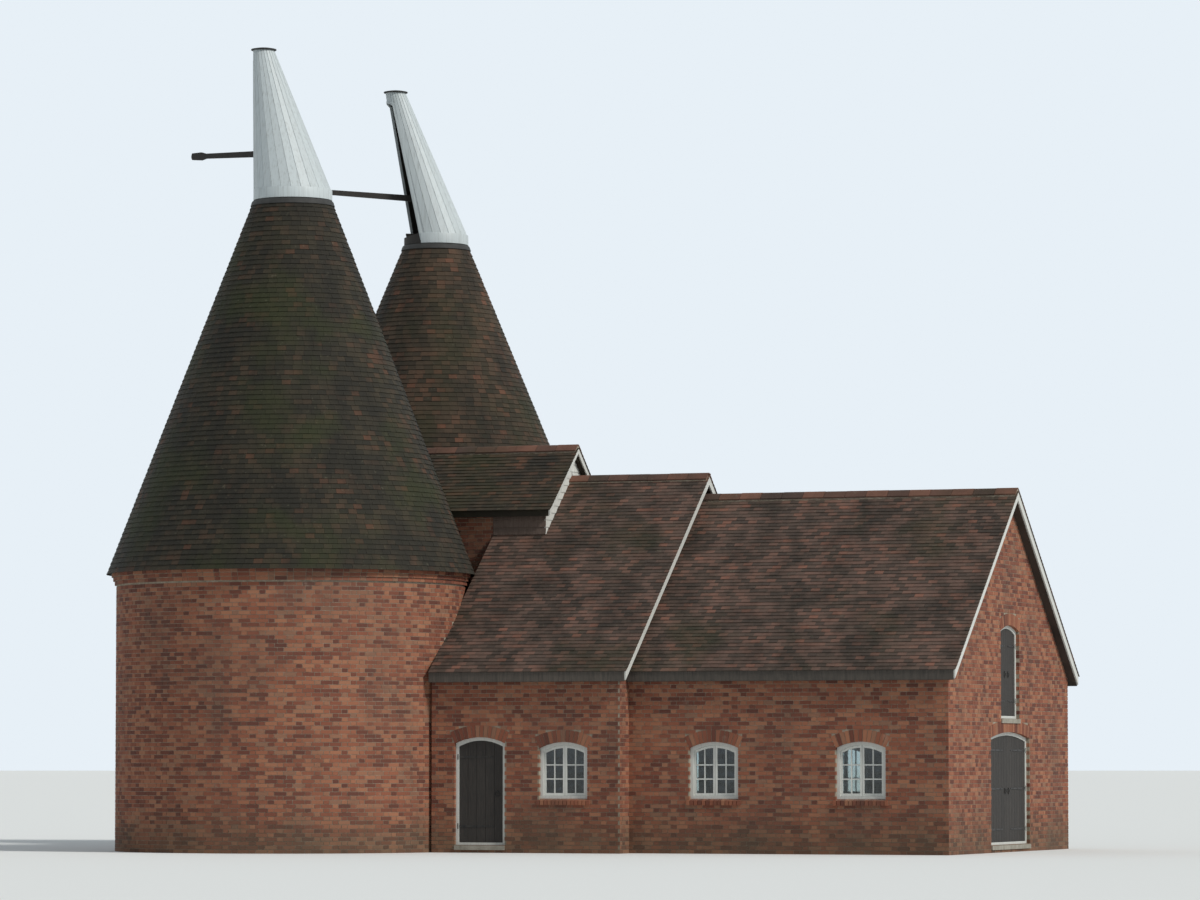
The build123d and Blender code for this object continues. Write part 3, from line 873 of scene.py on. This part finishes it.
def slope_tiles(block, word, side):
    """Tiles on one slope of a gabled roof, out over its bargeboard, with a fascia under them."""
    low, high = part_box(f"{block}_{word}_roof")
    eaves_y = max(abs(low.y), abs(high.y))
    eaves_z = high.z - eaves_y * SLOPE
    ends = span(side, low.x, high.x + VERGE_LAP)
    lines = np.arange(-EAVES_LAP, eaves_y / math.cos(PITCH) - 0.6 * TILE_LENGTH, GAUGE)
    tiles = np.concatenate([tile_course(v, row, *ends, TILE_WIDTH) for row, v in enumerate(lines)])
    blocks(f"{block}_{word}_tiles", outside_kilns(slope(side, eaves_y, eaves_z)(tiles)),
           "link_tile" if block == "link" else "stowage_tile")
    if block != "link":
        west, east = span(side, low.x, high.x)
        board = cells([(west, low.z + 0.004, 0)], [(east, eaves_z - 0.006, FASCIA)])
        blocks(f"{block}_{word}_fascia", flat_wall(eaves_y, 90 * side)(board), "timber")


def thin_bar(outer, inner, ends):
    """A bar between two x, from the y and z of its outer line and of its inner line."""
    section = np.concatenate((np.stack(outer, -1), np.stack(inner, -1)[::-1]))
    half = len(section) // 2
    points = at(np.array(ends)[:, None], section[:, 0], section[:, 1])
    index = np.arange(2 * len(section)).reshape(2, -1)
    following = np.roll(index, -1, 1)
    quads = [np.stack((index[0], following[0], following[1], index[1]), -1)]
    for ring in index:
        outer, inner = ring[:half], ring[half:][::-1]
        quads.append(np.stack((outer[:-1], outer[1:], inner[1:], inner[:-1]), -1))
    return points.reshape(-1, 3), np.concatenate(quads)


def ridge_line(block, start, end):
    """Rounded ridge tiles end to end, bedded in mortar over the joint of the slopes."""
    name, ridge = f"{block}_ridge_tiles", ridge_height(block)
    offsets = np.linspace(-1, 1, 13)
    flat = np.abs(offsets) * RIDGE_LEG
    crown = 0.35 * RIDGE_LEG
    drop = np.where(flat < crown, (flat ** 2 + crown ** 2) / (2 * crown), flat) * SLOPE
    top = ridge + RIDGE_CROWN - drop + crown / 2 * SLOPE - RIDGE_SINK
    under = top - 1.25 * RIDGE_THICK
    edges, tiles = even(start, end, RIDGE_TILE), []
    for west, east in zip(edges, edges[1:]):
        lift = random.uniform(-0.003, 0.003)
        tiles.append(thin_bar((offsets * RIDGE_LEG, top + lift),
                              (offsets * (RIDGE_LEG - 0.4 * RIDGE_THICK), under + lift),
                              (west + 0.004, east - 0.004)))
    made = joined(name, tiles, "ridge_tile")
    bed_y = offsets * (RIDGE_LEG - 0.012)
    foot = ridge - np.abs(bed_y) * SLOPE - 0.01
    upper = np.maximum(under + 0.004, foot + 0.002)
    bed = thin_bar((bed_y, upper), (bed_y, foot), (start + 0.012, end - 0.012))
    joined(f"{name}_bed", [bed], "mortar")
    return made


# Doors and windows

def strap_hinge(hole, hinge, inward, width, v, face):
    """A tapered strap across a leaf of a door, with its pin and its studs."""
    knuckle = hinge - inward * 0.02
    end = hinge + inward * 0.78 * width
    strap = cells([(knuckle, v - 0.024, face + 0.008)], [(end, v + 0.024, face + 0.017)])
    tip = slice(1 if inward > 0 else 0, None, 2)
    strap[:, tip, 1] = v + 0.45 * (strap[:, tip, 1] - v)
    made = [(hole.put(strap)[0], BLOCK_FACES),
            hole.pin((knuckle, v - 0.05, face + 0.018), (knuckle, v + 0.05, face + 0.018), 0.013)]
    for share in STUDS:
        u = hinge + inward * share * width
        made.append(hole.pin((u, v, face + 0.015), (u, v, face + 0.024), 0.011, tip=0.6))
    return made


def pull_ring(hole, u, v, face, radius=0.045, thick=0.006):
    """A ring that hangs on a leaf of a door, from its boss."""
    boss = hole.pin((u, v, face + 0.006), (u, v, face + 0.03), 0.02, tip=0.8)
    angles = circle(20)
    ring = hole.put(at(u + radius * np.sin(angles), v - radius + radius * np.cos(angles), face + 0.022))
    spokes = (ring - ring.mean(0)) / radius
    wall, out = hole.put(np.array(((0, 0, 0), (0, 0, 1.0))))
    tube = [ring + thick * (math.cos(t) * spokes + math.sin(t) * (out - wall)) for t in circle(8)]
    return [boss, skin(np.stack(tube), closed=True)]


def plank_door(name, hole, plank, leaves, heights):
    """Planks with strap hinges on each leaf, a ring to pull, ledges behind and a stone sill."""
    clear = hole.clear()
    face = -REVEAL - (FRAME_DEPTH - LEAF) / 2
    back = face - LEAF
    width = clear.width / leaves
    count = leaves * max(int(round(width / plank)), 2)
    edges = np.linspace(-clear.width / 2, clear.width / 2, count + 1)
    boards = cells(at(edges[:-1] + 0.003, clear.sill + 0.006, face - 0.002),
                   at(edges[1:] - 0.003, clear.spring, face + 0.01))
    boards[:, UPPER, 1] = clear.head(boards[:, UPPER, 0]) - 0.006
    planks, iron = [hole.put(boards)], []
    for leaf in range(leaves):
        inward = 1 if leaf == 0 else -1
        hinge = -inward * clear.width / 2
        for share in heights:
            iron += strap_hinge(hole, hinge, inward, width, clear.sill + share * clear.height, face)
        iron += pull_ring(hole, hinge + inward * (width - 0.11), clear.sill + 0.5 * clear.height, face)
    for share in LEDGES:
        v = clear.sill + share * clear.height
        for leaf in range(leaves):
            start = leaf * width - clear.width / 2
            ledge = cells([(start + 0.04, v - 0.06, back - 0.022)],
                          [(start + width - 0.04, v + 0.06, back + 0.002)])
            planks.append(hole.put(ledge))
    blocks(f"{name}_planks", np.concatenate(planks), "tar_and_painted_shade")
    joined(f"{name}_ironwork", iron, "iron")
    half = hole.width / 2 - 0.002
    stone = cells([(-half, hole.sill - 0.07, -REVEAL + 0.001)], [(half, hole.sill + 0.02, 0.03)])
    stone[:, 6:, 1] -= 0.012
    joined(f"{name}_sill", [(hole.put(stone)[0], BLOCK_FACES)], "stone")


def sash(hole, side):
    """Bars of the sash on one side of a window; a level that is a function follows the arched head."""
    clear = hole.clear()
    half = clear.width / 2
    middle = -REVEAL - FRAME_DEPTH / 2
    stile, rail, light = 0.04, 0.05, 0.022
    foot, centre = clear.sill + 0.002, half / 2

    def under_head(drop):
        return lambda u: clear.head(u) - drop

    def bar(near, far, low_v, high_v, deep):
        piece = cells([(side * near, 0, middle - deep)], [(side * far, 0, middle + deep)])
        for corners, level in ((LOWER, low_v), (UPPER, high_v)):
            piece[:, corners, 1] = level(piece[:, corners, 0]) if callable(level) else level
        return hole.put(piece)

    made = [bar(0.003, stile, foot, under_head(0.002), 0.021),
            bar(half - stile, half - 0.002, foot, under_head(0.002), 0.021),
            bar(stile, half - stile, foot, clear.sill + rail, 0.02),
            bar(centre - light / 2, centre + light / 2, clear.sill + rail, under_head(0.03), 0.015)]
    for step in (1, 2):
        v = clear.sill + rail + step * (clear.height - rail - 0.1) / 3
        made.append(bar(stile, half - stile, v - light / 2, v + light / 2, 0.014))
    cuts = np.linspace(stile, half - stile, 4)
    made += [bar(near, far, under_head(0.046), under_head(0.002), 0.02) for near, far in zip(cuts, cuts[1:])]
    return made


# Assembly

def build_kiln(kiln):
    """Bricks, door, tiles and the near-black lead round the top of one kiln, which also paints the shadow
    under the cowl's band.
    """
    around = math.tau * KILN_WALL_R
    door = min(kiln_doors, key=lambda hole: abs(hole.u + kiln.axis.y))
    hole = Opening(around / 2, door.sill, door.width, door.height)
    parts = [wall_bricks(None, 0.0, kiln.cornice_z, [hole], around), arch_bricks(hole)]
    for step in range(CORNICE_COURSES):
        low = kiln.cornice_z + step * COURSE
        ring = wall_bricks(None, low, low + COURSE, (), around)
        ring[..., 2] += (step + 1) * CORNICE_STEP
        parts.append(ring)
    corners = round_wall(kiln.axis, KILN_WALL_R)(np.concatenate(parts))
    x, y, z = corners.mean(1).T
    covered = (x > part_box("kiln_end_wall")[0].x) & (z < ridge_height("bay") - np.abs(y) * SLOPE)
    blocks(f"kiln_{kiln.number}_bricks", corners[~covered], "brick")
    plank_door(f"kiln_{kiln.number}_door", door, 0.15, 1, (0.16, 0.82))
    cone_tiles(kiln)
    down = np.array((kiln.run, -kiln.rise)) / kiln.slant
    out = np.array((kiln.rise, kiln.run)) / kiln.slant
    edge = np.array((kiln.top_r, kiln.cone_z))
    inner, level = kiln.curb_r + 0.001, kiln.cone_z
    # The collar's near-black lead is lead flashing and also painted shadow under the cowl's band.
    collar = [(inner, level + 0.001), (inner, level + 0.018), (kiln.top_r + 0.024, level + 0.018),
              edge + 0.02 * down + 0.04 * out, edge + 0.1 * down + 0.036 * out,
              edge + 0.105 * down + 0.026 * out, edge + 0.1 * down + 0.02 * out, edge]
    joined(f"kiln_{kiln.number}_collar", [lathe(kiln.axis, collar)], "lead_and_painted_shade")


def cowl_boards(kiln, name):
    """White boards over the flat facets of a cowl's shell."""
    far, upper, outer = CORNERS.T
    edges = circle(BOARDS)[:, None]
    middle = edges + math.pi / BOARDS
    angle = edges + far * math.tau / BOARDS
    radius = np.where(upper, COWL_TOP_R, kiln.cowl_r)
    out = np.where(outer, BOARD, -BOARD_BED)
    slip = np.where(far, -1, 1) * np.where(outer, FACE_GAP, BACK_GAP)
    x = radius * np.cos(angle) + out * np.cos(middle) - slip * np.sin(middle)
    y = radius * np.sin(angle) + out * np.sin(middle) + slip * np.cos(middle)
    corners = at(x + upper * kiln.lean, y, upper * kiln.cowl_height)
    return blocks(f"{name}_boards", kiln.cowl(corners), "white", name)


def mouth_outline(kiln):
    """Width and run of a cowl's mouth, up one side, over its arched head and down the other."""
    head = kiln.cowl_slant - MOUTH_CROWN
    high = kiln.half_mouth(head)
    arc_r = 1.25 * high
    centre = head - math.sqrt(arc_r ** 2 - high ** 2)
    turns = np.linspace(1, -1, 15) * math.asin(high / arc_r)
    crown = np.stack((arc_r * np.sin(turns), centre + arc_r * np.cos(turns)), -1)
    rise = np.linspace(0, head, 25)[:-1]
    right = np.stack((kiln.half_mouth(rise), rise), -1)
    return np.concatenate((right, crown, right[::-1] * (-1, 1)))


def build_cowl(kiln):
    """White boards of a cowl, cut away for the mouth, with its trim, its band and its cap."""
    name = f"cowl_{kiln.number}"
    boards = cowl_boards(kiln, name)
    outline = mouth_outline(kiln)
    cut_away(boards, np.stack([kiln.leaning(*outline.T, n) for n in (0.0, 2 * kiln.cowl_r)]))
    tone_boards(boards, kiln)

    along = np.gradient(outline, axis=0)
    along /= np.linalg.norm(along, axis=1)[:, None]
    off = np.stack((along[:, 1], -along[:, 0]), -1)
    strip = []
    for reach, lift in TRIM_SECTION:
        a, b = (outline + reach * off).T
        strip.append(kiln.leaning(a, b, kiln.skin_depth(a, b) + lift))
    joined(f"{name}_mouth_trim", [skin(np.stack(strip, 1))], "white", name)

    inner, outer = kiln.curb_r + 0.035, kiln.curb_r + 0.047
    low_z, high_z = kiln.cone_z + 0.03, kiln.cowl_z + 0.03
    band = [(inner, low_z), (outer - 0.003, low_z), (outer, low_z + 0.004), (outer, high_z - 0.012),
            (outer - 0.006, high_z), (inner, high_z)]
    # The band stops at the mouth, where the tar-black shell paints the shade at the cowl's foot.
    turns = np.linspace(kiln.heading + BAND_GAP, kiln.heading + math.tau - BAND_GAP, 80)
    joined(f"{name}_band", [skin(swept(kiln.axis, band, turns))], "white", name)

    low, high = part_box(f"{name}_cap")
    lip, under = (high.x - low.x) / 2, low.z
    cap = [(0.0, under), (lip - 0.012, under), (lip - 0.002, under + 0.004), (lip + 0.004, under + 0.014),
           (lip, under + 0.026), (lip - 0.014, under + 0.03), (0.62 * lip, under + 0.045),
           (0.3 * lip, under + 0.056), (0.0, under + 0.06)]
    made = joined(f"{name}_cap_cover", [lathe((low + high) / 2, cap, 48)], "lead_and_painted_shade", name)
    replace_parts(made, f"{name}_cap")


def cut_away(piece, rings):
    """Cuts a piece with the solid through two rings of points."""
    mesh = new_mesh("cutter", *skin(rings))
    weld(mesh)
    cutter = new_object("cutter", mesh)
    change = piece.modifiers.new("mouth", "BOOLEAN")
    change.operation = "DIFFERENCE"
    change.solver = "EXACT"
    change.object = cutter
    graph = bpy.context.evaluated_depsgraph_get()
    result = bpy.data.meshes.new_from_object(piece.evaluated_get(graph))
    piece.modifiers.clear()
    piece.data = result
    bpy.data.objects.remove(cutter)
    bpy.data.meshes.remove(mesh)


def tone_boards(piece, kiln):
    """Gives each board of a cowl its own tone, by its place round the leaning axis."""
    mesh = piece.data
    x, y, z = places(mesh).T
    c, s = math.cos(kiln.heading), math.sin(kiln.heading)
    forward = c * (x - kiln.axis.x) + s * (y - kiln.axis.y)
    across = c * (y - kiln.axis.y) - s * (x - kiln.axis.x)
    forward -= kiln.lean * (z - kiln.cowl_z) / kiln.cowl_height
    board = np.floor(np.arctan2(across, forward) % math.tau / math.tau * BOARDS).astype(int) % BOARDS
    layer = mesh.attributes.get("tone") or mesh.attributes.new("tone", "FLOAT", "POINT")
    layer.data.foreach_set("value", random.random(BOARDS)[board])


def build_stowage():
    """Bricks, tiles, ridges, doors and windows of the tall bay and the wing."""
    bay_low, bay_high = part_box("bay_front_wall")
    wing_low, wing_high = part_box("wing_front_wall")
    bay_half, wing_half = -bay_low.y, -wing_low.y
    stretches = (("bay", bay_half, bay_low.x - PROUD, bay_high.x + PROUD),
                 ("wing", wing_half, wing_low.x + PROUD, wing_high.x + PROUD))
    for word, side in SIDES:
        for block, half, west, east in stretches:
            doors, lights = ([hole for hole in holes if hole.outward == 90 * side
                              and west < -side * hole.u < east] for holes in ([front_door], windows))
            dressed_wall(f"{block}_{word}_bricks", flat_wall(half, 90 * side), whole(side, west, east),
                         WALL_HEAD, doors, lights)
        for block in ("bay", "wing", "link"):
            slope_tiles(block, word, side)

    bay_under, wing_under = ridge_height("bay") - ROOF_SLAB, ridge_height("wing") - ROOF_SLAB
    bay_end = gable(bay_half - BEDDED, bay_under)

    def beside_wing(v):
        (_, outer), = bay_end(v)
        inner = wing_half if v < WALL_HEAD else max((ridge_height("wing") - v) / SLOPE, 0.0)
        return [(-outer, -inner), (inner, outer)]

    dressed_wall("wing_gable_bricks", flat_wall(wing_high.x, 0), gable(wing_half - BEDDED, wing_under),
                 wing_under, [wagon_door, loading_door])
    dressed_wall("bay_gable_bricks", flat_wall(bay_high.x, 0), beside_wing, bay_under)
    doorways = [Opening(-kiln.axis.y, FLOOR, INNER_DOOR, INNER_HEIGHT, 0.0) for kiln in kilns]
    dressed_wall("kiln_end_bricks", flat_wall(-bay_low.x, 180), bay_end, bay_under, doorways)

    plank_door("front_door", front_door, 0.16, 1, (0.16, 0.84))
    plank_door("wagon_door", wagon_door, 0.17, 2, (0.12, 0.5, 0.86))
    plank_door("loading_door", loading_door, 0.15, 2, (0.17, 0.8))
    bars = [bar for hole in windows for side in (-1, 1) for bar in sash(hole, side)]
    blocks("casements", np.concatenate(bars), "joinery")

    link_low, link_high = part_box("link_front_roof")
    ridge_line("bay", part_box("link_upstand")[1].x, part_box("bay_front_roof")[1].x + RIDGE_LAP)
    ridge_line("wing", bay_high.x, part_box("wing_front_roof")[1].x + RIDGE_LAP)
    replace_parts(ridge_line("link", link_low.x, link_high.x + RIDGE_LAP), "ridge_tiles")


def weatherboard(start, end, low_v, high_v):
    """A board that stands out at its foot."""
    board = cells([(start, low_v, -0.002)], [(end, high_v, LAP_HEAD)])
    board[:, [4, 5], 2] = LAP_FOOT
    return board


def build_link():
    """Bricks of the link's walls, and weatherboards on what stands over the tall bay's roof."""
    west_low, west_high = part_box("link_west_wall")
    up_low, up_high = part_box("link_upstand")
    half = up_high.y
    link_under = ridge_height("link") - LINK_SLAB
    eaves_z = link_under - half * SLOPE
    dressed_wall("link_west_bricks", flat_wall(-west_low.x, 180), gable(half, link_under), link_under)
    for word, side in SIDES:
        dressed_wall(f"link_{word}_bricks", flat_wall(half, 90 * side), whole(side, west_high.x, up_low.x),
                     eaves_z)

    foot_z = ridge_height("bay") - half * SLOPE + 0.03
    # The cheek boards' brown paints the shade under the link's eaves.
    boards = []
    for _, side in SIDES:
        ends = span(side, up_low.x + 0.01, up_high.x + 0.02)
        for v in np.arange(foot_z, eaves_z, LAP_GAUGE):
            boards.append(flat_wall(half, 90 * side)(weatherboard(*ends, v, min(v + LAP_WIDTH, eaves_z))))
    blocks("link_cheek_boards", np.concatenate(boards), "boarding")

    boards = []
    for v in np.arange(foot_z, link_under - 0.03, LAP_GAUGE):
        for side in (-1, 1):
            board = weatherboard(0.0, 1.0, v, min(v + LAP_WIDTH, link_under - 0.002))
            rise = board[..., 1]
            outer = np.minimum(half + 0.012, (link_under - rise) / SLOPE)
            inner = np.maximum((ridge_height("bay") + TILE_TAIL - rise) / SLOPE, 0.0)
            board[..., 0] = side * np.where(board[..., 0] > 0.5, outer, np.minimum(inner, outer))
            boards.append(board if side > 0 else board[:, MIRRORED])
    blocks("link_gable_boards", flat_wall(up_high.x, 0)(np.concatenate(boards)), "joinery")


# Light and floor

def add_sun(name, energy, angle, direction, colour=(1.0, 1.0, 1.0)):
    data = bpy.data.lights.new(name, "SUN")
    data.energy = energy
    data.angle = math.radians(angle)
    data.color = colour
    new_object(name, data).rotation_euler = Vector(direction).to_track_quat("Z", "Y").to_euler()


def add_world():
    """Pale daylight on the object, and a paler backdrop where it is seen."""
    world = bpy.data.worlds.new("world")
    bpy.context.scene.world = world
    world.use_nodes = True
    w = Nodes(world.node_tree)
    sky = w.node("ShaderNodeBackground", {"Color": (0.86, 0.93, 1.0), "Strength": 0.34})
    backdrop = w.node("ShaderNodeBackground", {"Color": (0.8, 0.87, 0.93)})
    rays = w.node("ShaderNodeLightPath", {}).outputs
    seen = rays["Is Camera Ray"]
    for ray in ("Is Glossy Ray", "Is Transmission Ray"):
        seen = w.math("MAXIMUM", seen, rays[ray])
    mix = w.node("ShaderNodeMixShader", {0: seen, 1: sky.outputs[0], 2: backdrop.outputs[0]})
    w.node("ShaderNodeOutputWorld", {"Surface": mix.outputs[0]})


def add_ground():
    """Plain pale floor that the building stands on, round so that its far edge is level from every side."""
    radius, sides, level = 15 * DISTANCE, 180, -0.002
    rim = at(radius * np.cos(circle(sides)), radius * np.sin(circle(sides)), level)
    ground = new_object("ground", new_mesh("ground", rim, np.arange(sides)[None]))
    ground.data.materials.append(Shading("ground").finish((0.78, 0.8, 0.79), 0.95))


add_camera()
paint_solids()
for kiln in kilns:
    build_kiln(kiln)
    build_cowl(kiln)
build_stowage()
build_link()
add_sun("sun", 2.5, 9, (0.97, -0.242, 0.85), (1.0, 0.97, 0.92))
add_sun("fill", 0.18, 60, (-0.8, 0.5, 0.8))
add_world()
add_ground()
bpy.context.scene.view_settings.view_transform = "Standard"
